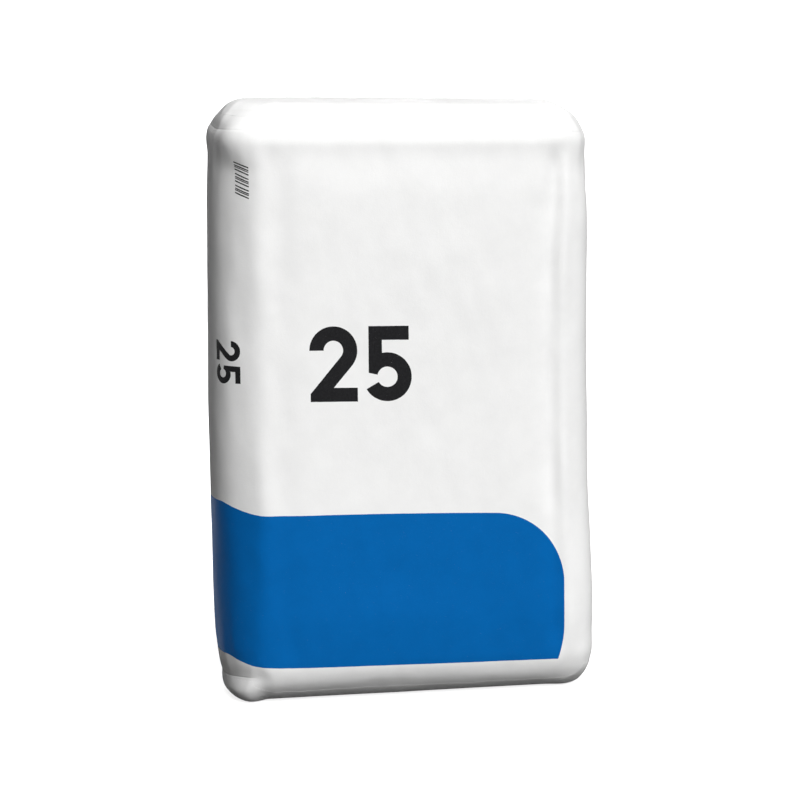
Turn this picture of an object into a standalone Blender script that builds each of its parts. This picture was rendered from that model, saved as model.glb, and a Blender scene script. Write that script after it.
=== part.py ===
"""Filled block-bottom paper sack of cement, standing on its bottom end.

Metres, +Z up. The wide front face looks along -Y, the narrow sides face -X and +X, and
the origin is the middle of the face that the sack stands on.
"""
from math import cos, exp, pi, radians, sin

import bmesh
import bpy
from mathutils import Vector

# Driving dimensions of the filled sack
WIDTH = 0.360           # across the front, narrow side to narrow side
DEPTH = 0.118           # front face to back face
HEIGHT = 0.564          # floor to the top of the top patch
SIDE_RADIUS = 0.050     # rounding between the wide faces and the narrow sides
TOP_ROUND = 0.038       # rounding from the walls into the top end
BOTTOM_ROUND = 0.027    # rounding from the walls into the bottom end

# Pasted paper pieces over the ends
PATCH_THICKNESS = 0.0005
GLUE_GAP = 0.0003
TOP_PATCH_STEPS = 8                # how far round the end's rounding the patch reaches
BOTTOM_PATCH_STEPS = 5
BOTTOM_TAB_STEPS = 8               # how far its two ends reach up the narrow sides
TAB_REACH = 7                      # outline points to each side of the narrow side's middle
SLEEVE_STEPS = 4                   # how far the valve lip reaches down the narrow side
SLEEVE_SETBACK = 0.1               # share of a step between the top patch and the valve lip
SLEEVE_REACH = 6                   # outline points to each side of the narrow side's middle

# Valley fold along each patch's end, where a narrow side meets the folded corner
FOLD_FROM_TOP = 0.0145
FOLD_FROM_BOTTOM = 0.021
FOLD_DEPTH = 0.0022
FOLD_HALF_HEIGHT = 0.0045
FOLD_HALF_LENGTH = 0.046           # measured along Y, where the fold fades out

# Faceting
CORNER_STEPS = 9
LONG_STEPS = 10
SHORT_STEPS = 2
TOP_STEPS = 15                     # on a quarter turn from the flat end to the wall
BOTTOM_STEPS = 10
WALL_STEPS = 10
SHARP_ANGLE = radians(50)

SACK_BOTTOM = PATCH_THICKNESS + GLUE_GAP
SACK_TOP = HEIGHT - PATCH_THICKNESS - GLUE_GAP

PAPER_WHITE = (0.83, 0.83, 0.82, 1.0)
PATCH_WHITE = (0.80, 0.80, 0.78, 1.0)
SLEEVE_WHITE = (0.78, 0.77, 0.74, 1.0)


def clear_scene():
    for item in list(bpy.data.objects):
        bpy.data.objects.remove(item, do_unlink=True)


def paper(name, colour, roughness):
    material = bpy.data.materials.new(name)
    material.use_nodes = True
    shader = material.node_tree.nodes["Principled BSDF"]
    shader.inputs["Base Color"].default_value = colour
    shader.inputs["Roughness"].default_value = roughness
    shader.inputs["Metallic"].default_value = 0.0
    return material


def arc(centre_x, centre_y, radius, start):
    """Points of a quarter turn, without its last one."""
    points = []
    for step in range(CORNER_STEPS):
        turn = start + pi / 2 * step / CORNER_STEPS
        points.append((centre_x + radius * cos(turn), centre_y + radius * sin(turn)))
    return points


def straight(start, end, steps):
    """Evenly spaced points from start towards end, without the last one."""
    return [
        (start[0] + (end[0] - start[0]) * k / steps, start[1] + (end[1] - start[1]) * k / steps)
        for k in range(steps)
    ]


def outline(inset):
    """The sack's plan outline moved inwards, anticlockwise from the middle of the +X side."""
    x, y = WIDTH / 2 - SIDE_RADIUS, DEPTH / 2 - SIDE_RADIUS
    radius = SIDE_RADIUS - inset
    side, face = x + radius, y + radius
    half_short = SHORT_STEPS // 2
    points = straight((side, 0.0), (side, y), half_short)
    points += arc(x, y, radius, 0.0)
    points += straight((x, face), (-x, face), LONG_STEPS)
    points += arc(-x, y, radius, pi / 2)
    points += straight((-side, y), (-side, -y), SHORT_STEPS)
    points += arc(-x, -y, radius, pi)
    points += straight((-x, -face), (x, -face), LONG_STEPS)
    points += arc(x, -y, radius, pi * 3 / 2)
    points += straight((side, -y), (side, 0.0), half_short)
    return points


def end_ring(end_z, up, rounding, turn, proud=0.0):
    """One ring on an end's rounding; turn is 0 on the flat end and 90 degrees on the wall."""
    inset = rounding - (rounding + proud) * sin(turn)
    z = end_z - up * (rounding - (rounding + proud) * cos(turn))
    return [(x, y, z) for x, y in outline(inset)]


def fold_offset(y, z):
    """How deep the valley fold runs in at this place of a narrow side."""
    along = max(0.0, 1.0 - (abs(y) / FOLD_HALF_LENGTH) ** 2)
    depth = 0.0
    for fold_z in (SACK_BOTTOM + FOLD_FROM_BOTTOM, SACK_TOP - FOLD_FROM_TOP):
        depth += exp(-(((z - fold_z) / FOLD_HALF_HEIGHT) ** 2))
    return FOLD_DEPTH * along * depth


def folded(ring):
    """A ring with the valley folds pressed into its narrow sides."""
    points = []
    for x, y, z in ring:
        inwards = fold_offset(y, z)
        points.append((x - inwards if x > 0 else x + inwards, y, z))
    return points


def bottom_ring(step, proud=0.0):
    return end_ring(SACK_BOTTOM, -1, BOTTOM_ROUND, pi / 2 * step / BOTTOM_STEPS, proud)


def top_ring(step, proud=0.0):
    return end_ring(SACK_TOP, 1, TOP_ROUND, pi / 2 * step / TOP_STEPS, proud)


def wall_ring(step):
    low, high = SACK_BOTTOM + BOTTOM_ROUND, SACK_TOP - TOP_ROUND
    z = low + (high - low) * step / WALL_STEPS
    return [(x, y, z) for x, y in outline(0.0)]


def sack_rings():
    """Rings from the flat bottom, up the walls, to the flat top."""
    rings = [bottom_ring(step) for step in range(BOTTOM_STEPS + 1)]
    rings += [wall_ring(step) for step in range(1, WALL_STEPS)]
    rings += [top_ring(step) for step in range(TOP_STEPS, -1, -1)]
    return [folded(ring) for ring in rings]


def between(first, second, share):
    """A ring that lies part of the way from one ring to the next."""
    return [Vector(a).lerp(Vector(b), share) for a, b in zip(first, second)]


def bridged(mesh, rings, closed=True):
    """Strings each ring's points together and bridges it to the next; gives the rings back."""
    loops = []
    for ring in rings:
        verts = [mesh.verts.new(point) for point in ring]
        edges = [mesh.edges.new(pair) for pair in zip(verts, verts[1:])]
        if closed:
            edges.append(mesh.edges.new((verts[-1], verts[0])))
        loops.append((verts, edges))
    for (_, lower), (_, upper) in zip(loops, loops[1:]):
        bmesh.ops.bridge_loops(mesh, edges=lower + upper)
    return [verts for verts, _ in loops]


def face_outwards(mesh):
    """Turns all faces away from the middle of the sack."""
    bmesh.ops.recalc_face_normals(mesh, faces=mesh.faces)
    middle = Vector((0.0, 0.0, HEIGHT / 2))
    lean = sum((f.calc_center_median() - middle).dot(f.normal) * f.calc_area() for f in mesh.faces)
    if lean < 0:
        bmesh.ops.reverse_faces(mesh, faces=mesh.faces)


def make_object(name, mesh, material):
    face_outwards(mesh)
    data = bpy.data.meshes.new(name)
    mesh.to_mesh(data)
    mesh.free()
    data.materials.append(material)
    item = bpy.data.objects.new(name, data)
    bpy.context.scene.collection.objects.link(item)
    data.shade_smooth()
    data.set_sharp_from_angle(angle=SHARP_ANGLE)
    return item


def make_sack(material):
    """The pasted tube with its folded block ends, filled tight."""
    mesh = bmesh.new()
    loops = bridged(mesh, sack_rings())
    mesh.faces.new(loops[0])
    mesh.faces.new(loops[-1])
    return make_object("sack", mesh, material)


def add_paper_thickness(item):
    """Gives a pasted sheet its thickness, outwards from the glue."""
    solid = item.modifiers.new("paper", "SOLIDIFY")
    solid.thickness = PATCH_THICKNESS
    solid.offset = 1.0
    solid.use_even_offset = True


def add_tab(mesh, edge, ring_at, steps, middle):
    """Carries a strip's end on from its edge ring, up the narrow side round outline point middle."""
    points = [(middle + k) % len(edge) for k in range(-TAB_REACH, TAB_REACH + 1)]
    last = [edge[k] for k in points]
    for step in steps:
        ring = folded(ring_at(step, GLUE_GAP))
        row = [mesh.verts.new(ring[k]) for k in points]
        for k in range(len(row) - 1):
            mesh.faces.new((last[k], last[k + 1], row[k + 1], row[k]))
        last = row


def make_patch(name, ring_at, steps, tab_steps, material):
    """A cover strip pasted over one block end, with its two ends a little way along the sides."""
    mesh = bmesh.new()
    loops = bridged(mesh, [folded(ring_at(step, GLUE_GAP)) for step in range(steps + 1)])
    mesh.faces.new(loops[0])
    for middle in (0, len(loops[-1]) // 2):
        add_tab(mesh, loops[-1], ring_at, range(steps + 1, tab_steps + 1), middle)
    item = make_object(name, mesh, material)
    add_paper_thickness(item)
    return item


def make_sleeve(material):
    """The lip of the filling sleeve, out of the end's corner past the top patch, at +X."""
    mesh = bmesh.new()
    rings = [folded(top_ring(TOP_PATCH_STEPS + step, GLUE_GAP)) for step in range(SLEEVE_STEPS + 1)]
    rings[0] = between(rings[0], rings[1], SLEEVE_SETBACK)
    bridged(mesh, [ring[-SLEEVE_REACH:] + ring[:SLEEVE_REACH + 1] for ring in rings], closed=False)
    item = make_object("valve_sleeve", mesh, material)
    add_paper_thickness(item)
    return item


def build():
    clear_scene()
    make_sack(paper("sack_paper", PAPER_WHITE, 0.62))
    patch_paper = paper("patch_paper", PATCH_WHITE, 0.7)
    make_patch("top_patch", top_ring, TOP_PATCH_STEPS, TOP_PATCH_STEPS, patch_paper)
    make_patch("bottom_patch", bottom_ring, BOTTOM_PATCH_STEPS, BOTTOM_TAB_STEPS, patch_paper)
    make_sleeve(paper("sleeve_paper", SLEEVE_WHITE, 0.75))


build()
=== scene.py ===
"""Filled paper cement sack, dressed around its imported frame, on a plain pale studio floor.

Metres, +Z up. The wide front face looks along -Y and the sack stands on its bottom end.
"""
from math import cos, radians, sin

import bmesh
import bpy
import numpy as np
from bpy.props import FloatProperty, FloatVectorProperty, PointerProperty
from mathutils import Matrix, Vector


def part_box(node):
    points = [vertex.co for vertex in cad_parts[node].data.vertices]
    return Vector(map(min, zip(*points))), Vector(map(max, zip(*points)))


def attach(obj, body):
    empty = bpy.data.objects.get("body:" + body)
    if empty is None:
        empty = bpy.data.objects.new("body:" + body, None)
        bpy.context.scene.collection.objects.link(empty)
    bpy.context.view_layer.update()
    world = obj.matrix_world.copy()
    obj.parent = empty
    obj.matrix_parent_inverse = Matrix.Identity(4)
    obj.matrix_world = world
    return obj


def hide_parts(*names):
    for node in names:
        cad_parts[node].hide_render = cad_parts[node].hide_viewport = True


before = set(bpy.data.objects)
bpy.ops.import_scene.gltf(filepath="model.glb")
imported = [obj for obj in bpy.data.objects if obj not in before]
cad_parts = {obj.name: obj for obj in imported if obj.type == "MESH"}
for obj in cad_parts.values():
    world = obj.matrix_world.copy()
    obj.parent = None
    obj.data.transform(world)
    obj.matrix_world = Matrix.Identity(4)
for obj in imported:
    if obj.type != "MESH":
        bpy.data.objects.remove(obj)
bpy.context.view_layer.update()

bl_info = {
    "name": "Cement Sack",
    "version": (1, 0, 0),
    "blender": (4, 5, 0),
    "location": "3D View > Sidebar > Cement Sack",
    "description": "Builds a filled block-bottom paper sack around its packed frame",
    "category": "Add Mesh",
}

SACK_LOW, SACK_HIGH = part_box("sack")
TOP_LOW, TOP_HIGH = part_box("top_patch")
BOTTOM_LOW, BOTTOM_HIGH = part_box("bottom_patch")
LIP_LOW, LIP_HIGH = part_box("valve_sleeve")
BODY = "root"
HALF_WIDTH = SACK_HIGH.x
HALF_DEPTH = SACK_HIGH.y
WHITE = (1.0, 1.0, 1.0, 1.0)


# Sizes and colours that a user would change


class SackSizes(bpy.types.PropertyGroup):
    side_rounding: FloatProperty(
        name="Side rounding", description="Rounding between the wide faces and the narrow sides",
        default=0.050, unit="LENGTH")
    top_rounding: FloatProperty(
        name="Top rounding", description="Rounding from the walls into the top end",
        default=0.038, unit="LENGTH")
    bottom_rounding: FloatProperty(
        name="Bottom rounding", description="Rounding from the walls into the bottom end",
        default=0.024, unit="LENGTH")
    slack: FloatProperty(
        name="Slack", description="How much smaller the tube is before it is filled",
        default=0.0016, unit="LENGTH")
    cell: FloatProperty(
        name="Cell", description="Width of one cell of the paper before it is filled",
        default=0.0065, unit="LENGTH")
    swell_cap: FloatProperty(
        name="Swell cap", description="The furthest that filling moves the paper",
        default=0.009, unit="LENGTH")
    pressure: FloatProperty(
        name="Filling pressure", description="Pressure of the filling from inside", default=2.2)
    ridge: FloatProperty(
        name="Edge ridge", description="How far the long edge creases stand proud of the wide faces",
        default=0.0016, unit="LENGTH")
    unevenness: FloatProperty(
        name="Unevenness", description="Depth of the soft dents in the walls",
        default=0.00020, unit="LENGTH")
    lean: FloatProperty(
        name="Lean", description="How far the filled tube bows to one side",
        default=0.0032, unit="LENGTH")
    sag: FloatProperty(
        name="Sag", description="How much fuller the sack is low down on its right",
        default=0.0045, unit="LENGTH")


class PaperSizes(bpy.types.PropertyGroup):
    thickness: FloatProperty(
        name="Paper thickness", description="Thickness of a pasted strip with its glue",
        default=0.00010, unit="LENGTH")
    lift: FloatProperty(
        name="Glue lift", description="Space between a pasted strip and the sack",
        default=0.00004, unit="LENGTH")
    patch_half: FloatProperty(
        name="Cover half width", description="From the middle to the long edge of an end's cover strip",
        default=0.0475, unit="LENGTH")


class PrintSettings(bpy.types.PropertyGroup):
    paper: FloatVectorProperty(
        name="Paper", description="Bleached sack paper", subtype="COLOR", size=4,
        default=(0.86, 0.86, 0.855, 1.0))
    blue: FloatVectorProperty(
        name="Blue ink", description="The printed block round the lower part", subtype="COLOR", size=4,
        default=(0.0, 0.115, 0.385, 1.0))
    black: FloatVectorProperty(
        name="Black ink", description="The plain numerals and bars", subtype="COLOR", size=4,
        default=(0.012, 0.012, 0.013, 1.0))
    block_low: FloatProperty(
        name="Block bottom", description="Height of the blue block's lower edge",
        default=0.0343, unit="LENGTH")
    block_high: FloatProperty(
        name="Block top", description="Height of the blue block's upper edge",
        default=0.1797, unit="LENGTH")
    block_right: FloatProperty(
        name="Block end", description="Where the blue block stops, right of the middle",
        default=0.1436, unit="LENGTH")
    block_corner: FloatProperty(
        name="Block corner", description="Radius of the blue block's one round corner",
        default=0.0665, unit="LENGTH")


class StudioSettings(bpy.types.PropertyGroup):
    distance: FloatProperty(
        name="Camera distance", description="From the middle of the sack", default=4.5, unit="LENGTH")
    azimuth: FloatProperty(
        name="Camera azimuth", description="Turned to the left of the front face",
        default=radians(-11.60), subtype="ANGLE")
    elevation: FloatProperty(
        name="Camera elevation", description="Above the middle of the sack",
        default=radians(9.00), subtype="ANGLE")
    roll: FloatProperty(
        name="Camera roll", description="Turn of the picture", default=radians(-0.62), subtype="ANGLE")
    lens: FloatProperty(
        name="Lens", description="Focal length in millimetres", default=213.6)
    aim: FloatVectorProperty(
        name="Aim", description="The point in the middle of the picture", subtype="XYZ", size=3,
        default=(-0.0012, 0.0002, 0.2779), unit="LENGTH")
    key: FloatProperty(
        name="Key light", description="Strength of the soft light from the front right", default=4.2)
    top: FloatProperty(
        name="Top light", description="Strength of the soft light from above", default=0.25)
    back: FloatProperty(
        name="Back light", description="Strength of the light on the back", default=0.6)
    fill: FloatProperty(
        name="Fill", description="Strength of the light from all round", default=0.03)


# Selecting and editing, as by hand


ON_THE_CUT = 1e-6               # a point this near to a cut is taken as on it
SMOOTH_BELOW = radians(40)      # faces that meet at a smaller angle are shaded as one

def only(item):
    """Deselects everything, then selects one object and makes it active."""
    bpy.ops.object.select_all(action="DESELECT")
    item.select_set(True)
    bpy.context.view_layer.objects.active = item


def edit(item):
    only(item)
    bpy.ops.object.mode_set(mode="EDIT")


def leave_edit():
    bpy.ops.object.mode_set(mode="OBJECT")


def pick_edges(item, test):
    """Selects the edges whose two ends pass the test."""
    bpy.ops.mesh.select_all(action="DESELECT")
    mesh = bmesh.from_edit_mesh(item.data)
    mesh.select_mode = {"EDGE"}
    for edge in mesh.edges:
        edge.select_set(test(edge.verts[0].co, edge.verts[1].co))
    mesh.select_flush_mode()
    bmesh.update_edit_mesh(item.data)


def cut(place, normal, clear_outer=False):
    """Cuts the whole mesh by one plane, and with clear_outer drops what lies ahead of it."""
    bpy.ops.mesh.select_all(action="SELECT")
    bpy.ops.mesh.bisect(
        plane_co=place, plane_no=normal, clear_outer=clear_outer, threshold=ON_THE_CUT)


def even(low, high, cell):
    """Evenly spaced places between low and high, both left out, about one cell apart."""
    steps = max(1, round((high - low) / cell))
    return [low + (high - low) * k / steps for k in range(1, steps)]


def apply_modifiers(item):
    only(item)
    for modifier in list(item.modifiers):
        bpy.ops.object.modifier_apply(modifier=modifier.name)


def points_of(item):
    count = len(item.data.vertices)
    places = np.empty(count * 3)
    item.data.vertices.foreach_get("co", places)
    normals = np.empty(count * 3)
    item.data.vertices.foreach_get("normal", normals)
    return places.reshape(-1, 3), normals.reshape(-1, 3)


def set_points(item, places):
    item.data.vertices.foreach_set("co", places.reshape(-1))
    item.data.update()


def smooth(item):
    only(item)
    bpy.ops.object.shade_smooth_by_angle(angle=SMOOTH_BELOW)


# The paper tube, filled


SIDE_SEGMENTS, TOP_SEGMENTS, BOTTOM_SEGMENTS = 12, 14, 10       # facets across each rounding
UPRIGHT = 0.1                   # only the block's four upright edges climb further than this
LEVEL = 1e-5                    # the edges round an end lie within this of its height

# Cloth settings of the paper while it is filled
FILLING = {
    "quality": 6,
    "mass": 0.3,
    "tension_stiffness": 600,
    "compression_stiffness": 600,
    "shear_stiffness": 300,
    "bending_stiffness": 20,
    "use_pressure": True,
}
FILLING_FRAMES = 20
HELD = 0.15                     # share of the swelling that is left at the two ends
FREE_FROM_LOW = (0.010, 0.090)  # heights between which the swelling comes in, up from the bottom end
FREE_FROM_HIGH = (0.558, 0.480)     # and down from the top end

# How far the filled tube reaches past the sack's solid
CROWN = 0.0036                  # out of each wide face
FOOT = 0.0006                   # below its floor, where it is then pressed flat
HEAD = 0.0002                   # above its top

LEAST_LENGTH = 1e-9             # keeps a division safe where nothing has moved


def add_block(size):
    """A block a little smaller than the sack, with rounded edges and its faces cut into cells."""
    slack = Vector((size.slack,) * 3)
    low, high = SACK_LOW + slack, SACK_HIGH - slack
    side = size.side_rounding - slack.x
    top, bottom = size.top_rounding - slack.x, size.bottom_rounding - slack.x
    bpy.ops.object.select_all(action="DESELECT")
    bpy.ops.mesh.primitive_cube_add(size=1.0, location=(low + high) / 2, scale=high - low)
    block = bpy.context.object
    block.name = block.data.name = "sack_shell"
    bpy.ops.object.transform_apply(location=True, rotation=True, scale=True)
    edit(block)
    pick_edges(block, lambda a, b: abs(a.z - b.z) > UPRIGHT)
    bpy.ops.mesh.bevel(offset=side, segments=SIDE_SEGMENTS, affect="EDGES", clamp_overlap=False)
    pick_edges(block, lambda a, b: min(a.z, b.z) > high.z - LEVEL)
    bpy.ops.mesh.bevel(offset=top, segments=TOP_SEGMENTS, affect="EDGES", clamp_overlap=False)
    pick_edges(block, lambda a, b: max(a.z, b.z) < low.z + LEVEL)
    bpy.ops.mesh.bevel(offset=bottom, segments=BOTTOM_SEGMENTS, affect="EDGES", clamp_overlap=False)
    for z in even(low.z + bottom, high.z - top, size.cell):
        cut((0, 0, z), (0, 0, 1))
    for x in even(low.x + side, high.x - side, size.cell):
        cut((x, 0, 0), (1, 0, 0))
    for y in even(low.y + side, high.y - side, size.cell):
        cut((0, y, 0), (0, 1, 0))
    leave_edit()
    put_in_order(block)
    return block


def put_in_order(item):
    """Sorts the faces by their points, because cuts leave them in an order that changes from run
    to run, and the filling would change with it."""
    places, _ = points_of(item)
    edges = [list(edge.vertices) for edge in item.data.edges]
    faces = sorted(list(face.vertices) for face in item.data.polygons)
    item.data.clear_geometry()
    item.data.from_pydata(places.tolist(), edges, faces)


def swell(item, size):
    """Fills the paper: cloth under pressure from inside, with its movement capped."""
    cap = size.swell_cap
    start, _ = points_of(item)
    cloth = item.modifiers.new("filling", "CLOTH")
    for key, value in FILLING.items():
        setattr(cloth.settings, key, value)
    cloth.settings.uniform_pressure_force = size.pressure
    cloth.settings.effector_weights.gravity = 0.0
    cloth.collision_settings.use_collision = False
    cloth.collision_settings.use_self_collision = False
    scene = bpy.context.scene
    cloth.point_cache.frame_start = 1
    cloth.point_cache.frame_end = FILLING_FRAMES
    for step in range(1, FILLING_FRAMES + 1):
        scene.frame_set(step)
    apply_modifiers(item)
    scene.frame_set(1)
    moved, _ = points_of(item)
    travel = moved - start
    length = np.linalg.norm(travel, axis=1, keepdims=True)
    travel *= cap * np.tanh(length / cap) / np.maximum(length, LEAST_LENGTH)
    z = start[:, 2]
    travel *= HELD + (1 - HELD) * (rise(z, *FREE_FROM_LOW) * rise(z, *FREE_FROM_HIGH))[:, None]
    set_points(item, start + travel)


def seat(item):
    """Brings the filled tube back to the sack's size, with its end a little below its floor."""
    places, _ = points_of(item)
    low = np.array((-HALF_WIDTH, -HALF_DEPTH - CROWN, SACK_LOW.z - FOOT))
    high = np.array((HALF_WIDTH, HALF_DEPTH + CROWN, SACK_HIGH.z + HEAD))
    least, most = places.min(axis=0), places.max(axis=0)
    set_points(item, low + (places - least) / (most - least) * (high - low))


def subdivide(item):
    modifier = item.modifiers.new("finer", "SUBSURF")
    modifier.levels = modifier.render_levels = 1
    apply_modifiers(item)


# Creases and dents, moved into the filled paper


# Bands across which one shape gives way to the next
MIDDLE = 0.05                           # to each side of the middle, from the left side's to the right's
ENDS_MIDDLE = 0.15                      # the same at the two ends
NARROW_SIDE = (0.120, 0.150)            # out from the middle, onto the narrow sides
WIDE_FACE = (0.020, 0.040)              # out from the middle, onto the front or the back
FRONT_OR_BACK = (0.0, 0.02)             # the same, close to the middle

# The rounding from the walls into each end: how far it reaches along the wall, and inwards
TOP_AT_WIDE = (0.037, 0.034)            # at the wide faces
TOP_AT_LEFT = (0.040, 0.029)            # at the left narrow side
TOP_RIGHT_MORE = (0.0, 0.011)           # what the right narrow side has more
BOTTOM_AT_WIDE = (0.038, 0.033)         # the same at the bottom end
BOTTOM_AT_LEFT = (0.014, 0.012)
BOTTOM_RIGHT_MORE = (0.020, 0.012)
LEFT_TURN = (0.40, 0.95)                # where round the lower left corner the side gives way to the face
TAPER_TOP, TAPER = 0.062, 0.0080        # the left side draws in below this height, by this much
TAPER_POWER = 1.2

# How much squarer than round the level outline is at its corners
RIGHT_SQUARE = 1.2                      # up the right side
RIGHT_SQUARE_END = (0.52, 0.44)         # heights between which that begins, down from the top
TOP_SQUARE, TOP_FLAT = 1.1, 1.6         # below and above the upper fold
TOP_SQUARE_FROM = (0.500, 0.535)        # heights between which it comes in
BOTTOM_FLAT, BOTTOM_SQUARE = 0.25, 0.25         # above and below the lower fold
RIGHT_SHARE = 0.2                       # how much of this the right side has at the folds
PAST_TOP, BEFORE_BOTTOM, PAST_BOTTOM = 0.016, 0.012, 0.014      # heights over which it changes

TOP_CREASE_Z = 0.5275                   # the front's upper edge, where the folded end begins
CREASE_RISE = 0.0008                    # how far that edge stands out
CREASE_BELOW, CREASE_ABOVE = 0.018, 0.012       # how far below and above it fades out
CREASE_ENDS = (0.022, 0.055)            # from each narrow side, where it comes in

TOP_FOLD_Z = SACK_HIGH.z - 0.0258
BOTTOM_FOLD_Z = SACK_LOW.z + 0.0240
FOLD_CLIMB = 0.0025                     # how much higher the folds lie at the corners than mid-side
CLIMB_FROM, CLIMB_TO = 0.010, 0.050     # places across the narrow side between which they climb
FOLDS = ((TOP_FOLD_Z, 0.0020, 0.0016), (BOTTOM_FOLD_Z, 0.0016, 0.0))     # height, depth and step inwards
FOLD_WIDTH, FOLD_STEP = 0.006, 0.004    # of the valley, and half that of the step
FOLD_HALF_LENGTH = 0.054                # across the narrow side, where the folds end
RIGHT_LESS = 0.8                        # share of the folds that the right side lacks

# Long crease ridges beside the wide faces, and the troughs inside them: place, width and height
LEFT_EDGE = ((-0.144, 0.011, 1.0), (-0.122, 0.013, -0.75))
BACK_EDGES = ((0.146, 0.011, 1.0), (0.120, 0.014, -0.6))
RIGHT_RIDGE, RIGHT_TROUGH = 0.1470, 0.1335      # places of the right edge's ridge and trough
RIDGE_DRIFT, TROUGH_DRIFT = 0.004, 0.005        # how much further right they run high up
RIGHT_EDGE_WIDTH, RIGHT_TROUGH_DEPTH = 0.0075, 1.1
RIGHT_STRENGTH, RIGHT_HIGH_MORE = 1.3, 0.3      # how much stronger it is, and what it has more high up
HIGH_UP = (0.40, 0.50)                  # heights between which that comes in
EDGES_FROM_LOW = (0.030, 0.075)         # heights between which all the edges come in, up from the floor
EDGES_FROM_HIGH = (0.535, 0.505)        # and down from the top
EDGE_WAVES = ((0.25, 31, 1.0), (0.15, 67, 0.0))         # height, waves and start of their unevenness

# Dents: wave length and seed of each field of waves, and how it is stretched
DENTS_LONG, DENTS_SHORT = (0.055, 3), (0.024, 4)
DENT_STRETCH = np.array((1.0, 1.0, 0.55))
SHORT_SHARE = 0.4                       # depth of the short dents beside that of the long ones
DENTS_FROM = 0.010                      # the foot stays plain below this height
GATHERS = (0.030, 5)                    # the fine creases near the folded corners
GATHER_STRETCH = np.array((1.0, 1.0, 0.5))
GATHER_DEPTH = 0.0005
GATHER_SIDE = (0.10, 0.16)              # out from the middle, where they come in
GATHER_HIGH, GATHER_LOW = (0.44, 0.53), (0.10, 0.03)
HOLLOW_X, HOLLOW_Z = (0.1350, 0.008), (0.290, 0.060)    # place and half size of one longer hollow
HOLLOW_DEPTH = 0.0010

SAG_Z, SAG_HALF = 0.095, 0.075          # height and half height of the fuller part
SAG_SIDE = (0.04, 0.16)                 # out to the right, where it comes in
LEAN_POWER = 0.8                        # below 1 the bow is flatter in its middle
TOP_SLOPE = 0.031                       # how much lower the top lies, per metre to the right

LEAST_REACH, NO_REACH = 1e-6, 1e-7      # a point nearer than this to the flat middle has no way out


def rise(value, start, end):
    """Goes smoothly from 0 at start to 1 at end; start may be the larger."""
    t = np.clip((value - start) / (end - start), 0, 1)
    return t * t * (3 - 2 * t)


def hump(distance, width):
    """A soft rounded profile across a line."""
    return np.exp(-(distance / width) ** 2)


def at_left(x):
    """1 on the left half, 0 on the right, smooth across the middle."""
    return rise(x, MIDDLE, -MIDDLE)


def at_right(x):
    return rise(x, -MIDDLE, MIDDLE)


def waves(places, length, seed, count=24):
    """A smooth uneven field of about unit size, made of seeded waves about one length long."""
    draw = np.random.default_rng(seed)
    total = np.zeros(len(places))
    for _ in range(count):
        way = draw.normal(size=3)
        way /= np.linalg.norm(way)
        pitch = length * draw.uniform(0.7, 1.4)
        total += np.sin(places @ way * (2 * np.pi / pitch) + draw.uniform(0, 2 * np.pi))
    return total / np.sqrt(count / 2)


def from_core(places, size):
    """Each point's way out of the sack's middle, level, and how far along it the point is."""
    x, y, _ = places.T
    out_x = np.sign(x) * np.maximum(np.abs(x) - (HALF_WIDTH - size.side_rounding), 0)
    out_y = np.sign(y) * np.maximum(np.abs(y) - (HALF_DEPTH - size.side_rounding), 0)
    reach = np.hypot(out_x, out_y)
    return np.column_stack((out_x, out_y)) / np.maximum(reach, LEAST_REACH)[:, None], reach


def inset_at(depth, tall, deep):
    """How far an oval rounding lies inside the wall at this depth below its end."""
    left = np.clip(1 - depth / tall, 0, 1)
    return deep * (1 - np.sqrt(1 - left ** 2))


def reshape_end(places, size, end_z, up, made, tall, deep):
    """Changes one end's even rounding into an oval one that differs from side to side."""
    way, reach = from_core(places, size)
    depth = np.maximum(up * (end_z - places[:, 2]), 0)
    push = inset_at(depth, made, made) - inset_at(depth, tall, deep)
    push *= np.clip(reach / (size.side_rounding - made), 0, 1)
    moved = places.copy()
    moved[:, :2] += way * push[:, None]
    return moved


def ovals(wide, right, at_wide, at_left, right_more):
    """How far an end's rounding reaches along the wall and inwards, for each point."""
    return [
        wide * face + (1 - wide) * (left + more * right)
        for face, left, more in zip(at_wide, at_left, right_more)
    ]


def shape_ends(places, size):
    """The ends as the filling leaves them: soft to the front, tight under the left side."""
    way, _ = from_core(places, size)
    wide = way[:, 1] ** 2
    right = rise(places[:, 0], -ENDS_MIDDLE, ENDS_MIDDLE)
    top, bottom = SACK_HIGH.z - size.slack, SACK_LOW.z + size.slack
    tall, deep = ovals(wide, right, TOP_AT_WIDE, TOP_AT_LEFT, TOP_RIGHT_MORE)
    places = reshape_end(places, size, top, 1, size.top_rounding - size.slack, tall, deep)
    wide = right * wide + (1 - right) * rise(wide, *LEFT_TURN)
    tall, deep = ovals(wide, right, BOTTOM_AT_WIDE, BOTTOM_AT_LEFT, BOTTOM_RIGHT_MORE)
    places = reshape_end(places, size, bottom, -1, size.bottom_rounding - size.slack, tall, deep)
    taper = np.clip((TAPER_TOP - places[:, 2]) / TAPER_TOP, 0, 1) ** TAPER_POWER
    places[:, 0] += TAPER * taper * (1 - way[:, 1] ** 2) * (1 - right)
    return places


def squared(places, size, power):
    """Makes the level outline squarer at its four corners: a power of 2 leaves it round."""
    way, reach = from_core(places, size)
    way[reach < NO_REACH] = (1.0, 0.0)
    across, along = np.abs(way.T)
    grown = (across ** power + along ** power) ** (-1 / power)
    moved = places.copy()
    moved[:, :2] += way * (reach * (grown - 1))[:, None]
    return moved


def square_corners(places, size):
    """The corners are tighter up the right side than up the left."""
    x, _, z = places.T
    return squared(places, size, 2 + RIGHT_SQUARE * at_right(x) * rise(z, *RIGHT_SQUARE_END))


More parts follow.
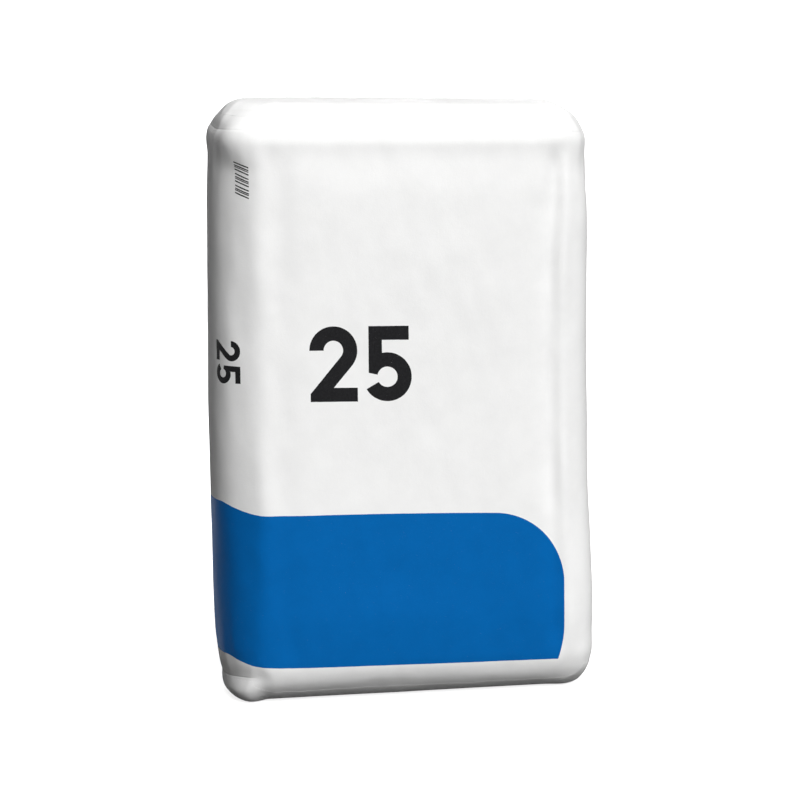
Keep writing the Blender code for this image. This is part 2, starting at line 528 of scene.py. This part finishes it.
def fold_climb(y):
    """How much higher a fold lies at y than in the middle of the narrow side."""
    return FOLD_CLIMB * rise(np.abs(y), CLIMB_FROM, CLIMB_TO)


def square_folds(places, size):
    """Square corners that turn flat with a sudden edge at the folds, mostly at the left."""
    x, y, z = places.T
    climb = fold_climb(y)
    left = RIGHT_SHARE + (1 - RIGHT_SHARE) * at_left(x)
    past = np.clip((z - TOP_FOLD_Z - climb) / PAST_TOP, 0, 1)
    top = (TOP_SQUARE * rise(z, *TOP_SQUARE_FROM) - TOP_FLAT * past) * left
    above = np.clip((BOTTOM_FOLD_Z + climb + BEFORE_BOTTOM - z) / BEFORE_BOTTOM, 0, 1)
    below = np.clip((BOTTOM_FOLD_Z + climb - z) / PAST_BOTTOM, 0, 1)
    return squared(places, size, 2 + top + (BOTTOM_SQUARE * below - BOTTOM_FLAT * above) * left)


def crease_top(places):
    """A crease along the wide faces' upper edges, where the folded ends begin."""
    x, y, z = places.T
    away = z - TOP_CREASE_Z
    below = CREASE_RISE * np.clip(away / CREASE_BELOW + 1, 0, 1) ** 2
    above = CREASE_RISE * np.clip(1 - away / CREASE_ABOVE, 0, 1)
    wide = rise(HALF_WIDTH - np.abs(x), *CREASE_ENDS) * rise(np.abs(y), *WIDE_FACE)
    moved = places.copy()
    moved[:, 1] += np.sign(y) * np.where(away < 0, below, above) * wide
    return moved


def press_folds(places):
    """Valley folds across the narrow sides, where the folded ends begin."""
    x, y, z = places.T
    side = rise(np.abs(x), *NARROW_SIDE)
    along = np.clip(1 - (np.abs(y) / FOLD_HALF_LENGTH) ** 4, 0, 1)
    for fold_z, depth, step in FOLDS:
        away = z - fold_z - fold_climb(y)
        valley = depth * np.exp(-np.abs(away) / FOLD_WIDTH)
        shift = -(valley + step * rise(away, -FOLD_STEP, FOLD_STEP)) * side * along
        shift *= 1 - RIGHT_LESS * at_right(x)
        places = places.copy()
        places[:, 0] += np.sign(x) * shift
    return places


def profile(across, lines):
    """Ridges and troughs across a face, each given by its place, width and height."""
    return sum(height * hump(across - place, width) for place, width, height in lines)


def raise_edges(places, size):
    """Long crease ridges beside the wide faces, and the shallow troughs inside them."""
    x, y, z = places.T
    length = rise(z, *EDGES_FROM_LOW) * rise(z, *EDGES_FROM_HIGH)
    wavy = sum((height * np.sin(z * pitch + start) for height, pitch, start in EDGE_WAVES), 1)
    high = rise(z, *HIGH_UP)
    right = hump(x - RIGHT_RIDGE - RIDGE_DRIFT * high, RIGHT_EDGE_WIDTH)
    right -= RIGHT_TROUGH_DEPTH * hump(x - RIGHT_TROUGH - TROUGH_DRIFT * high, RIGHT_EDGE_WIDTH)
    right *= RIGHT_STRENGTH + RIGHT_HIGH_MORE * high
    back = rise(y, *FRONT_OR_BACK) * profile(np.abs(x), BACK_EDGES)
    front = rise(-y, *FRONT_OR_BACK) * (profile(x, LEFT_EDGE) + right)
    push = size.ridge * length * wavy * (front + back)
    moved = places.copy()
    moved[:, 1] += np.sign(y) * push
    return moved


def dent(places, normals, size):
    """Soft dents all over, and fine creases that gather towards the folded corners."""
    x, y, z = places.T
    stretched = places * DENT_STRETCH
    depth = size.unevenness * waves(stretched, *DENTS_LONG)
    depth += SHORT_SHARE * size.unevenness * waves(stretched, *DENTS_SHORT)
    corner = rise(np.abs(x), *GATHER_SIDE) * (rise(z, *GATHER_HIGH) + rise(z, *GATHER_LOW))
    depth -= GATHER_DEPTH * corner * np.abs(waves(places * GATHER_STRETCH, *GATHERS))
    hollow = hump(x - HOLLOW_X[0], HOLLOW_X[1]) * hump(z - HOLLOW_Z[0], HOLLOW_Z[1])
    depth -= HOLLOW_DEPTH * (hollow * rise(-y, *WIDE_FACE))
    depth *= rise(z, SACK_LOW.z, SACK_LOW.z + DENTS_FROM)
    return places + normals * depth[:, None]


def settle(places, size):
    """Bows the whole sack a little to one side, lets its top slope, and stands it on the floor."""
    x, _, z = places.T
    share = np.clip(z / SACK_HIGH.z, 0, 1)
    moved = places.copy()
    moved[:, 0] -= size.lean * np.sin(np.pi * share) ** LEAN_POWER
    moved[:, 0] += size.sag * hump(z - SAG_Z, SAG_HALF) * rise(x, *SAG_SIDE)
    moved[:, 2] = np.maximum(z - top_slope(x) * share ** 2, SACK_LOW.z)
    return moved


def top_slope(x):
    """How much lower the top lies at x than in the middle."""
    return TOP_SLOPE * x


def build_sack(size):
    shell = add_block(size)
    places, _ = points_of(shell)
    set_points(shell, square_corners(shape_ends(places, size), size))
    swell(shell, size)
    seat(shell)
    subdivide(shell)
    places, _ = points_of(shell)
    places = press_folds(square_folds(crease_top(places), size))
    places = raise_edges(places, size)
    set_points(shell, places)
    places, normals = points_of(shell)
    set_points(shell, settle(dent(places, normals, size), size))
    smooth(shell)
    return shell


# Pasted paper strips


def strip_from(shell, name, planes, paper):
    """Copies a piece of the sack's surface, trims it by planes and gives it a paper's thickness."""
    only(shell)
    bpy.ops.object.duplicate()
    strip = bpy.context.object
    strip.name = strip.data.name = name
    strip.data.materials.clear()
    edit(strip)
    for place, normal in planes:
        cut(place, normal, clear_outer=True)
    leave_edit()
    places, normals = points_of(strip)
    set_points(strip, places + normals * paper.lift)
    solid = strip.modifiers.new("paper", "SOLIDIFY")
    solid.thickness = paper.thickness
    solid.offset = 1.0
    apply_modifiers(strip)
    smooth(strip)
    return strip


def top_plane(z, up):
    """A level cut near the top end, sloping as the top does."""
    return (0, 0, z), (up * top_slope(1.0), 0, up)


# Shader maths


class Wire:
    """A node's output socket that adds, multiplies and compares like a number."""

    def __init__(self, nodes, socket):
        self.nodes = nodes
        self.socket = socket

    def math(self, operation, *values):
        return self.nodes.add("ShaderNodeMath", {"operation": operation}, *values)

    def __add__(self, other):
        return self.math("ADD", self, other)

    def __radd__(self, other):
        return self.math("ADD", other, self)

    def __sub__(self, other):
        return self.math("SUBTRACT", self, other)

    def __rsub__(self, other):
        return self.math("SUBTRACT", other, self)

    def __mul__(self, other):
        return self.math("MULTIPLY", self, other)

    def __rmul__(self, other):
        return self.math("MULTIPLY", other, self)

    def __truediv__(self, other):
        return self.math("DIVIDE", self, other)

    def __neg__(self):
        return self.math("MULTIPLY", self, -1.0)

    def __abs__(self):
        return self.math("ABSOLUTE", self)

    def __pow__(self, other):
        return self.math("POWER", self, other)

    def __and__(self, other):
        """Where two shapes given as distances overlap."""
        return self.math("MAXIMUM", self, other)

    def __or__(self, other):
        """Two shapes given as distances, together."""
        return self.math("MINIMUM", self, other)

    def sine(self):
        return self.math("SINE", self)

    def above(self, low):
        return self.math("MAXIMUM", self, low)

    def below(self, high):
        return self.math("MINIMUM", self, high)

    def rise(self, start, end):
        """0 at start, 1 at end, smooth between; start may be the larger."""
        settings = {"interpolation_type": "SMOOTHSTEP"}
        if start > end:
            return self.nodes.add("ShaderNodeMapRange", settings, self, end, start, 1.0, 0.0)
        return self.nodes.add("ShaderNodeMapRange", settings, self, start, end, 0.0, 1.0)


def length_of(u, v):
    return (u * u + v * v) ** 0.5


class Nodes:
    """Builds one material's node tree."""

    def __init__(self, name):
        self.material = bpy.data.materials.new(name)
        self.material.use_nodes = True
        self.tree = self.material.node_tree
        self.shader = self.tree.nodes["Principled BSDF"]

    def add(self, kind, settings=None, *values, output=0, **named):
        """A node with its settings made first, then the values or wires of its inputs."""
        node = self.tree.nodes.new(kind)
        for key, value in (settings or {}).items():
            setattr(node, key, value)
        for socket, value in zip(node.inputs, values):
            self.feed(socket, value)
        for key, value in named.items():
            self.feed(node.inputs[key], value)
        return Wire(self, node.outputs[output])

    def feed(self, socket, value):
        if isinstance(value, Wire):
            self.tree.links.new(value.socket, socket)
        elif value is not None:
            socket.default_value = value

    def set(self, **inputs):
        """Feeds the shader; an input's spaces are written as underscores."""
        for key, value in inputs.items():
            self.feed(self.shader.inputs[key.replace("_", " ")], value)

    def place(self):
        return self.add("ShaderNodeTexCoord", output=3)

    def split(self, vector):
        node = self.add("ShaderNodeSeparateXYZ", None, vector).socket.node
        return [Wire(self, node.outputs[k]) for k in range(3)]

    def stretch(self, vector, scale):
        return self.add("ShaderNodeVectorMath", {"operation": "MULTIPLY"}, vector, scale)

    def noise(self, vector, scale, detail=3.0, roughness=0.5):
        return self.add(
            "ShaderNodeTexNoise", Vector=vector, Scale=scale, Detail=detail, Roughness=roughness)

    def mix(self, factor, one, other):
        node = self.tree.nodes.new("ShaderNodeMix")
        node.data_type = "RGBA"
        self.feed(node.inputs[0], factor)
        self.feed(node.inputs[6], one)
        self.feed(node.inputs[7], other)
        return Wire(self, node.outputs[2])

    def bump(self, height, distance, normal=None):
        return self.add("ShaderNodeBump", Distance=distance, Height=height, Normal=normal)


def scaled(colour, factor):
    return (colour[0] * factor, colour[1] * factor, colour[2] * factor, 1.0)


# The paper's relief: how fine each noise is, per metre, and how high it stands
FIBRES_FINE, FIBRES_HIGH = 2600.0, 0.00004
GRAIN_FINE, GRAIN_HIGH = 700.0, 0.00008
COCKLE_FINE, COCKLE_HIGH = 42.0, 0.0004

CREASE_LINE, CREASE_LINE_DEPTH = 0.0014, 0.00035        # half width and depth of the folds' fine lines
TOP_LINE = 0.6                          # how much of that depth the upper one has
LINE_SIDE, LINE_LEFT = (0.148, 0.166), (0.16, -0.10)    # where they come in: outwards, and leftwards
LINE_SLOPE = 0.9                        # share of the top's slope that the upper one follows
LAP_X, LAP_STEP, LAP_HIGH = -0.046, 0.0008, 0.0005      # the tube's glued lap down the back


def paper_relief(nodes, place):
    """Fibres, the felt's fine grain and soft cockling of damp pasted paper."""
    fibres = nodes.noise(nodes.stretch(place, (1.0, 1.0, 0.35)), FIBRES_FINE, 2.0, 0.6)
    grain = nodes.noise(place, GRAIN_FINE, 3.0, 0.55)
    cockle = nodes.noise(nodes.stretch(place, (1.0, 1.0, 0.6)), COCKLE_FINE, 3.0, 0.5)
    normal = nodes.bump(cockle, COCKLE_HIGH)
    normal = nodes.bump(grain, GRAIN_HIGH, normal)
    return nodes.bump(fibres, FIBRES_HIGH, normal), fibres, grain


def fold_relief(nodes, place, normal):
    """Fine crease lines at the folds, and the edge of the tube's glued lap down the back."""
    x, y, z = nodes.split(place)
    climb = (abs(y) - CLIMB_FROM).above(0.0) * (FOLD_CLIMB / (CLIMB_TO - CLIMB_FROM))
    side = abs(x).rise(*LINE_SIDE) * x.rise(*LINE_LEFT)
    top = abs(z + x * top_slope(LINE_SLOPE) - TOP_FOLD_Z - climb).rise(CREASE_LINE, 0.0)
    bottom = abs(z - BOTTOM_FOLD_Z - climb).rise(CREASE_LINE, 0.0)
    lap = x.rise(LAP_X, LAP_X + LAP_STEP) * y.rise(*FRONT_OR_BACK)
    normal = nodes.bump((top * TOP_LINE + bottom) * side * -1.0, CREASE_LINE_DEPTH, normal)
    return nodes.bump(lap, LAP_HIGH, normal)


# The print's lines, as they run on the filled paper
BLOCK_TOP_CLIMB, BLOCK_LOW_CLIMB = 0.0110, 0.0098       # how far they climb round the left side
BLOCK_TOP_SLOPE, BLOCK_TOP_SAG, BLOCK_LOW_SLOPE = 0.034, 0.09, 0.018
BLOCK_END_TALL, BLOCK_END_CURVE = 0.031, 5.3            # the lowest part of its end, which curves in
SIDE_OUTER, SIDE_INNER = 0.063, 0.023   # places across the narrow side between which they climb
SIDE_TURN = (-0.10, -0.13)              # and to the left
BLOCK_EDGE, MARK_EDGE = 0.0002, 0.00015                 # half the softness of an inked edge


def block_mask(nodes, place, look, wobble):
    """1 inside the blue block, which climbs a little round the left side and has one round corner."""
    x, y, z = nodes.split(place)
    corner = look.block_corner
    round_left = y.rise(-SIDE_OUTER, -SIDE_INNER) * y.rise(SIDE_OUTER, SIDE_INNER)
    round_left = round_left * x.rise(*SIDE_TURN)
    top = z - round_left * BLOCK_TOP_CLIMB + x * BLOCK_TOP_SLOPE + x * x * BLOCK_TOP_SAG
    low = look.block_low + round_left * BLOCK_LOW_CLIMB - x * BLOCK_LOW_SLOPE
    foot = (look.block_low + BLOCK_END_TALL - z).above(0.0)
    across = x - (look.block_right - foot * foot * BLOCK_END_CURVE) + corner
    up = top - (look.block_high - corner)
    outside = length_of(across.above(0.0), up.above(0.0))
    inside = across.above(up).below(0.0)
    edge = (outside + inside - corner).above(low - z)
    return (edge + wobble).rise(BLOCK_EDGE, -BLOCK_EDGE)


def bar(u, v, middle, half):
    """An upright rectangle as a distance, below 0 inside."""
    return (abs(u - middle[0]) - half[0]) & (abs(v - middle[1]) - half[1])


def slanted_bar(u, v, start, end, half):
    """A straight stroke from start to end."""
    way = Vector(end) - Vector(start)
    length = way.length
    way /= length
    middle = (Vector(start) + Vector(end)) / 2
    along = (u - middle.x) * way.x + (v - middle.y) * way.y
    across = (u - middle.x) * -way.y + (v - middle.y) * way.x
    return (abs(along) - length / 2) & (abs(across) - half)


def ring(u, v, middle, radius, half):
    """A round stroke."""
    return abs(length_of(u - middle[0], v - middle[1]) - radius) - half


def side_of(u, v, middle, turn):
    """The half of the plane that lies towards this direction from the middle."""
    return -((u - middle[0]) * cos(radians(turn)) + (v - middle[1]) * sin(radians(turn)))


# Numerals are drawn one unit tall
STROKE = 0.095                          # half the width of a stroke
NEXT = 0.75                             # from one numeral to the next
FRONT_TALL, FRONT_X, FRONT_Z, FRONT_SLOPE = 0.071, -0.1009, 0.2866, 0.03
SIDE_TALL, SIDE_TOP_Z, SIDE_ARC = 0.030, 0.3475, 0.0222
FRONT_Y, LEFT_X = -0.02, -0.13          # the front lies before the one, the left side beyond the other


def numeral_two(u, v):
    middle = (0.34, 0.68)
    bowl = ring(u, v, middle, 0.225, STROKE) & (side_of(u, v, middle, 50) | side_of(u, v, middle, 90))
    stroke = slanted_bar(u, v, (0.013, -0.06), (0.531, 0.558), STROKE) & (0.0 - v) & (0.03 - u)
    return bowl | stroke | bar(u, v, (0.405, 0.0925), (0.255, 0.0925))


def numeral_five(u, v):
    middle = (0.31, 0.325)
    bowl = ring(u, v, middle, 0.23, STROKE) & (side_of(u, v, middle, 78) | side_of(u, v, middle, -60))
    bowl = bowl & ((0.06 - u) | (v - 0.325))
    return bowl | bar(u, v, (0.15, 0.72), (0.09, 0.28)) | bar(u, v, (0.33, 0.9075), (0.27, 0.0925))


def printed(distance, height, wobble):
    """1 where a shape given as a distance in units of its height is printed."""
    return (distance * height + wobble).rise(MARK_EDGE, -MARK_EDGE)


def numerals_mask(nodes, place, wobble):
    """The plain 25 on the front, and the smaller one that reads down the left side."""
    x, y, z = nodes.split(place)
    u, v = (x - FRONT_X) / FRONT_TALL, (z + x * FRONT_SLOPE - FRONT_Z) / FRONT_TALL
    front = (numeral_two(u, v) | numeral_five(u - NEXT, v)) & ((y - FRONT_Y) / FRONT_TALL)
    u, v = (SIDE_TOP_Z - z) / SIDE_TALL, (left_arc(nodes, x, y) - SIDE_ARC) / SIDE_TALL
    side = (numeral_two(u, v) | numeral_five(u - NEXT, v)) & ((x - LEFT_X) / SIDE_TALL)
    return printed(front, FRONT_TALL, wobble).above(printed(side, SIDE_TALL, wobble))


ARC_RADIUS, ARC_FLAT = 0.050, 0.009     # the left side's roundings, and half the flat between them

# The patch of bars, by distance round the left side and by height
BARS_MIDDLE, BARS_HALF, BARS_SLANT = (0.0563, 0.4973), (0.0074, 0.0156), 0.35
BAR_WAVES = (2900.0, 1730.0)            # two waves up the patch, whose sum is inked where it is high


def left_arc(nodes, x, y):
    """Distance along the paper, level, from the middle of the left side towards the front."""
    turn = nodes.add("ShaderNodeMath", {"operation": "ARCTAN2"}, -ARC_FLAT - y, LEFT_X - x)
    return turn * ARC_RADIUS + ARC_FLAT


def bars_mask(nodes, place, wobble):
    """A small patch of plain bars of uneven widths, high on the left side; they encode nothing."""
    x, y, z = nodes.split(place)
    arc = left_arc(nodes, x, y)
    up = z + (arc - BARS_MIDDLE[0]) * BARS_SLANT
    bars = ((up * BAR_WAVES[0]).sine() + (up * BAR_WAVES[1] + 1.0).sine()).rise(-0.1, 0.3)
    patch = bar(arc, up, BARS_MIDDLE, BARS_HALF) & (x - LEFT_X)
    return (patch + wobble).rise(MARK_EDGE, -MARK_EDGE) * bars


PAPER_SHEEN = 0.04              # specular level of uncoated paper


def dress(piece, material, slot, *nodes):
    """Gives a piece its material, hangs it on the body and hides the solids that it stands for."""
    piece.data.materials.clear()
    piece.data.materials.append(material)
    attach(piece, BODY)
    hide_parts(*nodes)


def sack_material(look):
    nodes = Nodes("printed_sack_paper")
    place = nodes.place()
    normal, fibres, grain = paper_relief(nodes, place)
    normal = fold_relief(nodes, place, normal)
    clouds = nodes.noise(place, 55.0, 4.0, 0.6)
    paper = nodes.mix(clouds.rise(0.3, 0.7), scaled(look.paper, 0.985), scaled(look.paper, 1.01))
    paper = nodes.mix(fibres.rise(0.45, 0.75) * 0.35, paper, scaled(look.paper, 0.93))
    ink = nodes.mix(clouds.rise(0.25, 0.75), scaled(look.blue, 0.97), scaled(look.blue, 1.03))
    ink = nodes.mix(grain.rise(0.35, 0.75) * 0.3, ink, scaled(look.blue, 1.15))
    black = nodes.mix(grain.rise(0.35, 0.75) * 0.4, look.black, scaled(look.black, 2.2))
    wobble = (nodes.noise(place, 900.0, 2.0) - 0.5) * 0.0003
    pinholes = 1.0 - fibres.rise(0.72, 0.84) * 0.5
    block = block_mask(nodes, place, look, wobble) * pinholes
    marks = (numerals_mask(nodes, place, wobble) + bars_mask(nodes, place, wobble)).below(1.0)
    marks = marks * pinholes
    colour = nodes.mix(marks, nodes.mix(block, paper, ink), black)
    nodes.set(Base_Color=colour, Roughness=0.62 - (block + marks) * 0.10, Normal=normal)
    nodes.set(Specular_IOR_Level=PAPER_SHEEN)
    return nodes.material


def plain_paper_material(name, colour):
    nodes = Nodes(name)
    place = nodes.place()
    normal, fibres, _ = paper_relief(nodes, place)
    clouds = nodes.noise(place, 70.0, 4.0, 0.6)
    paper = nodes.mix(clouds.rise(0.3, 0.7), scaled(colour, 0.97), scaled(colour, 1.01))
    paper = nodes.mix(fibres.rise(0.45, 0.75) * 0.4, paper, scaled(colour, 0.92))
    nodes.set(Base_Color=paper, Roughness=0.64, Normal=normal, Specular_IOR_Level=PAPER_SHEEN)
    return nodes.material


# Operators


COVER_DROP = 0.0012             # how far below the lower fold the bottom cover's ends stop
LIP_GAP = 0.0006                # between the top cover's end and the valve lip


class CEMENT_OT_sack(bpy.types.Operator):
    """Builds the filled sack"""
    bl_idname = "cement.sack"
    bl_label = "Sack"

    def execute(self, context):
        shell = build_sack(context.scene.cement_sack)
        dress(shell, sack_material(context.scene.cement_print), "sack_paper", "sack")
        return {"FINISHED"}


class CEMENT_OT_covers(bpy.types.Operator):
    """Pastes the cover strips over both folded ends"""
    bl_idname = "cement.covers"
    bl_label = "Cover strips"

    def execute(self, context):
        paper = context.scene.cement_paper
        shell = bpy.data.objects["sack_shell"]
        white = plain_paper_material("cover_paper", context.scene.cement_print.paper)
        sides = [((0, paper.patch_half, 0), (0, 1, 0)), ((0, -paper.patch_half, 0), (0, -1, 0))]
        top = strip_from(shell, "top_cover", [top_plane(TOP_LOW.z, -1)] + sides, paper)
        low_plane = (0, 0, BOTTOM_FOLD_Z - COVER_DROP), (0, 0, 1)
        bottom = strip_from(shell, "bottom_cover", [low_plane] + sides, paper)
        dress(top, white, "patch_paper", "top_patch")
        dress(bottom, white, "patch_paper", "bottom_patch")
        return {"FINISHED"}


class CEMENT_OT_valve(bpy.types.Operator):
    """Builds the lip of the filling sleeve"""
    bl_idname = "cement.valve"
    bl_label = "Valve lip"

    def execute(self, context):
        shell = bpy.data.objects["sack_shell"]
        planes = [
            ((LIP_LOW.x, 0, 0), (-1, 0, 0)),
            ((0, LIP_HIGH.y, 0), (0, 1, 0)),
            ((0, LIP_LOW.y, 0), (0, -1, 0)),
            top_plane(LIP_LOW.z, -1),
            top_plane(TOP_LOW.z - LIP_GAP, 1),
        ]
        lip = strip_from(shell, "valve_lip", planes, context.scene.cement_paper)
        white = plain_paper_material("sleeve_paper", scaled(context.scene.cement_print.paper, 0.95))
        dress(lip, white, "sleeve_paper", "valve_sleeve")
        return {"FINISHED"}


SENSOR_WIDTH = 36.0             # of the camera, in millimetres
FAR = 60.0                      # how far the camera sees
FLOOR_RADIUS = 14.0
FLOOR_GLOW = 0.8

# Each light's name, azimuth from the front, elevation and width in the sky, in degrees
SUNS = (("key", 14, 42, 58), ("overhead", 0, 88, 90), ("back", 165, 3, 6))


def add_camera(studio):
    """A long lens a little above the middle, turned to the left of the front face."""
    data = bpy.data.cameras.new("camera")
    data.lens = studio.lens
    data.sensor_width = SENSOR_WIDTH
    data.clip_end = FAR
    camera = bpy.data.objects.new("camera", data)
    bpy.context.scene.collection.objects.link(camera)
    level = cos(studio.elevation) * studio.distance
    high = sin(studio.elevation) * studio.distance
    away = Vector((sin(studio.azimuth) * level, -cos(studio.azimuth) * level, high))
    turn = (-away).to_track_quat("-Z", "Y").to_matrix().to_4x4()
    roll = Matrix.Rotation(studio.roll, 4, "Z")
    camera.matrix_world = Matrix.Translation(Vector(studio.aim) + away) @ turn @ roll
    bpy.context.scene.camera = camera


def add_sun(name, azimuth, elevation, softness, strength):
    """A light from one side of the sky, as soft as its width there."""
    data = bpy.data.lights.new(name, "SUN")
    data.angle = radians(softness)
    data.energy = strength
    light = bpy.data.objects.new(name, data)
    bpy.context.scene.collection.objects.link(light)
    azimuth, elevation = radians(azimuth), radians(elevation)
    level = cos(elevation)
    towards = Vector((sin(azimuth) * level, -cos(azimuth) * level, sin(elevation)))
    light.matrix_world = towards.to_track_quat("Z", "Y").to_matrix().to_4x4()


def add_floor():
    """A pale round floor, large enough for every view."""
    bpy.ops.object.select_all(action="DESELECT")
    bpy.ops.mesh.primitive_circle_add(
        vertices=96, radius=FLOOR_RADIUS, fill_type="NGON", location=(0, 0, 0))
    floor = bpy.context.object
    floor.name = floor.data.name = "studio_floor"
    floor.visible_diffuse = False
    nodes = Nodes("studio_floor")
    nodes.set(Base_Color=(0.9, 0.9, 0.9, 1.0), Roughness=0.9, Specular_IOR_Level=0.1)
    nodes.set(Emission_Color=WHITE, Emission_Strength=FLOOR_GLOW)
    floor.data.materials.append(nodes.material)


def add_world(strength):
    """A dim even fill that looks white to the eye."""
    world = bpy.data.worlds.new("studio")
    bpy.context.scene.world = world
    world.use_nodes = True
    tree = world.node_tree
    fill = tree.nodes["Background"]
    fill.inputs["Color"].default_value = WHITE
    fill.inputs["Strength"].default_value = strength
    seen = tree.nodes.new("ShaderNodeBackground")
    seen.inputs["Color"].default_value = WHITE
    path = tree.nodes.new("ShaderNodeLightPath")
    choice = tree.nodes.new("ShaderNodeMixShader")
    tree.links.new(path.outputs["Is Camera Ray"], choice.inputs[0])
    tree.links.new(fill.outputs[0], choice.inputs[1])
    tree.links.new(seen.outputs[0], choice.inputs[2])
    tree.links.new(choice.outputs[0], tree.nodes["World Output"].inputs["Surface"])


class CEMENT_OT_stage(bpy.types.Operator):
    """Sets the floor, the soft lights and the camera"""
    bl_idname = "cement.stage"
    bl_label = "Stage"

    def execute(self, context):
        studio = context.scene.cement_studio
        add_floor()
        add_camera(studio)
        for sun, strength in zip(SUNS, (studio.key, studio.top, studio.back)):
            add_sun(*sun, strength)
        add_world(studio.fill)
        context.scene.view_settings.view_transform = "Standard"
        return {"FINISHED"}


class CEMENT_PT_panel(bpy.types.Panel):
    bl_label = "Cement Sack"
    bl_idname = "CEMENT_PT_panel"
    bl_space_type = "VIEW_3D"
    bl_region_type = "UI"
    bl_category = "Cement Sack"

    def draw(self, context):
        for kind in OPERATORS:
            self.layout.operator(kind.bl_idname)
        for name, group in GROUPS.items():
            box = self.layout.box()
            for key in group.__annotations__:
                box.prop(getattr(context.scene, name), key)


GROUPS = {
    "cement_sack": SackSizes,
    "cement_paper": PaperSizes,
    "cement_print": PrintSettings,
    "cement_studio": StudioSettings,
}
OPERATORS = (CEMENT_OT_sack, CEMENT_OT_covers, CEMENT_OT_valve, CEMENT_OT_stage)


def register():
    for kind in (*GROUPS.values(), *OPERATORS, CEMENT_PT_panel):
        bpy.utils.register_class(kind)
    for name, group in GROUPS.items():
        setattr(bpy.types.Scene, name, PointerProperty(type=group))


def unregister():
    for name in GROUPS:
        delattr(bpy.types.Scene, name)
    for kind in reversed((*GROUPS.values(), *OPERATORS, CEMENT_PT_panel)):
        bpy.utils.unregister_class(kind)


def main():
    register()
    bpy.ops.cement.sack()
    bpy.ops.cement.covers()
    bpy.ops.cement.valve()
    bpy.ops.cement.stage()


if __name__ == "__main__":
    main()
